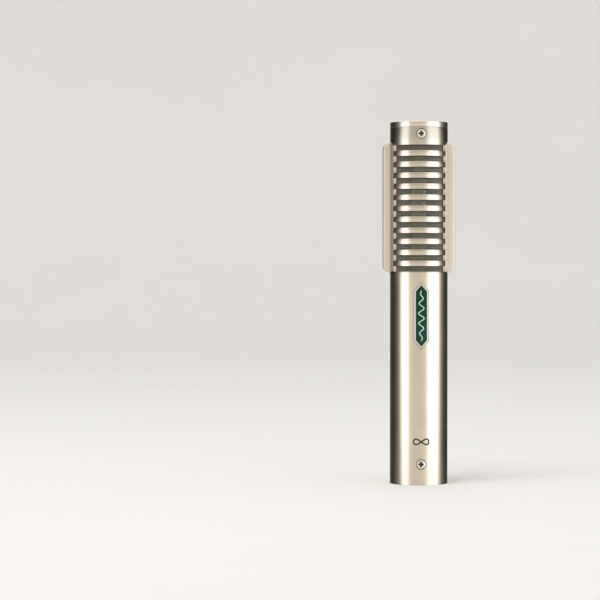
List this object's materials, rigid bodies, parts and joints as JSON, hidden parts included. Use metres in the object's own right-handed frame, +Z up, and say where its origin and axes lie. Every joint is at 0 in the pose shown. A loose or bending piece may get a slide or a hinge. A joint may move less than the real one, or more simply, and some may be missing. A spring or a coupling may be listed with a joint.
{
  "type": "ribbon microphone",
  "caption": "Slim side-address ribbon microphone: slotted tube with two side wings, corrugated ribbon motor, transformer and recessed three-pin connector.",
  "frame": {"origin": "centre of the base rim, on the plane that the microphone stands on", "axes": "+Z up along the tube to the cap, -Y the front with the badge, +X the right wing seen from the front"},
  "size_m": [0.0316, 0.0257, 0.158],
  "materials": {
    "satin_nickel": "satin nickel plate",
    "bright_plate": "bright plate",
    "green_enamel": "glossy enamel",
    "woven_wire": "dull woven wire",
    "plated_steel": "plated",
    "soft_iron": "ground",
    "magnet_plating": "nickel-plated magnet",
    "brass": "machined",
    "phenolic": "paper phenolic",
    "aluminium_foil": "bright foil",
    "turned_aluminium": "turned",
    "rubber": "matt",
    "copper_winding": "enamelled wire",
    "shield_can": "annealed shield alloy",
    "dark_metal": "dark plated",
    "black_insulator": "moulded",
    "gold_plate": "gold-plated contact",
    "red_wire": "insulated wire",
    "blue_wire": "insulated wire",
    "black_wire": "insulated wire"
  },
  "bodies": {
    "microphone": {"body_tube": "satin_nickel", "top_cap": "satin_nickel", "wing_left": "satin_nickel", "wing_right": "satin_nickel", "cap_screw_front": "plated_steel", "cap_screw_rear": "plated_steel", "base_screw_front": "plated_steel", "base_screw_rear": "plated_steel", "badge_plate": "bright_plate", "badge_enamel": "green_enamel", "screen_front": "woven_wire", "screen_rear": "woven_wire", "magnet_left": "magnet_plating", "magnet_right": "magnet_plating", "pole_left": "soft_iron", "pole_right": "soft_iron", "frame_bar_top": "soft_iron", "frame_bar_bottom": "soft_iron", "frame_dowel_top_left": "plated_steel", "frame_dowel_top_right": "plated_steel", "frame_dowel_bottom_left": "plated_steel", "frame_dowel_bottom_right": "plated_steel", "ribbon_block_top": "phenolic", "ribbon_block_bottom": "phenolic", "ribbon_clamp_top": "brass", "ribbon_clamp_bottom": "brass", "clamp_screw_top_left": "brass", "clamp_screw_top_right": "brass", "clamp_screw_bottom_left": "brass", "clamp_screw_bottom_right": "brass", "ribbon_lead_top": "red_wire", "ribbon_lead_bottom": "blue_wire", "motor_carrier": "turned_aluminium", "damping_ring": "rubber", "chassis_rod_left": "plated_steel", "chassis_rod_right": "plated_steel", "carrier_screw_left": "plated_steel", "carrier_screw_right": "plated_steel", "transformer_core": "soft_iron", "transformer_bobbin": "phenolic", "transformer_winding": "copper_winding", "transformer_can": "shield_can", "transformer_lid": "shield_can", "transformer_pad": "rubber", "connector_housing": "dark_metal", "connector_insulator": "black_insulator", "connector_pin_1": "gold_plate", "connector_pin_2": "gold_plate", "connector_pin_3": "gold_plate", "ground_lug": "brass", "ground_screw": "plated_steel", "output_lead_1": "black_wire", "output_lead_2": "red_wire", "output_lead_3": "blue_wire"},
    "ribbon": {"ribbon": "aluminium_foil"}
  },
  "joints": [
    {"name": "ribbon_vibration", "type": "slide", "parent": "microphone", "child": "ribbon", "axis": [0, 1, 0], "range_m": [-0.00025, 0.00025], "stiffness_N_per_m": 2}
  ]
}
